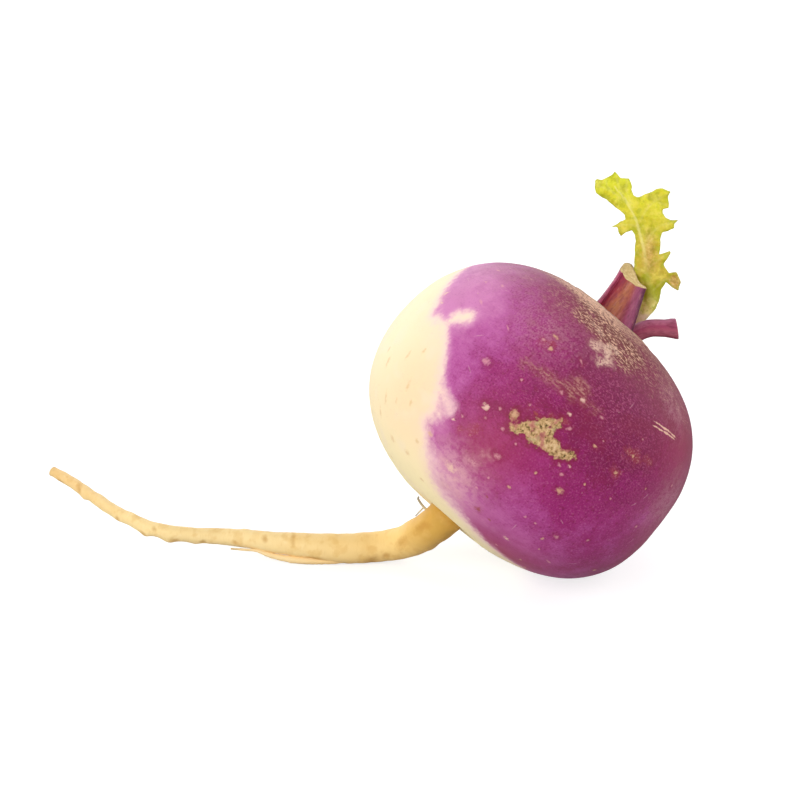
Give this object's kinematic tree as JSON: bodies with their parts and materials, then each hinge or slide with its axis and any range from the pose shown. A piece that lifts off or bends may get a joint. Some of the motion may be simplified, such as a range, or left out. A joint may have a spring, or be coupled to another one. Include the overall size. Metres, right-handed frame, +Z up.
{
  "type": "turnip",
  "caption": "Purple-top turnip with its long curved tap root, cut leaf stalks and a young leaf, lying tilted on its shoulder.",
  "frame": {"origin": "middle of the small flat spot on the lower shoulder that the turnip rests on", "axes": "+Z up, +X from the tap root's tip towards the crown, +Y away from the side that the crown and the root frame"},
  "size_m": [0.1588, 0.079, 0.0913],
  "materials": {
    "root_skin": "smooth thin skin with a soft sheen, purple at the crown and cream below, russeted at the crown shoulder",
    "stalk_skin": "ribbed magenta skin with a soft sheen, cut ends pale and fibrous",
    "leaf": "soft thin yellow-green blade with a pale rib"
  },
  "bodies": {
    "root": {"turnip_root": "root_skin", "large_cut_stalk": "stalk_skin", "small_cut_stalk": "stalk_skin", "young_leaf": "leaf"}
  },
  "joints": []
}
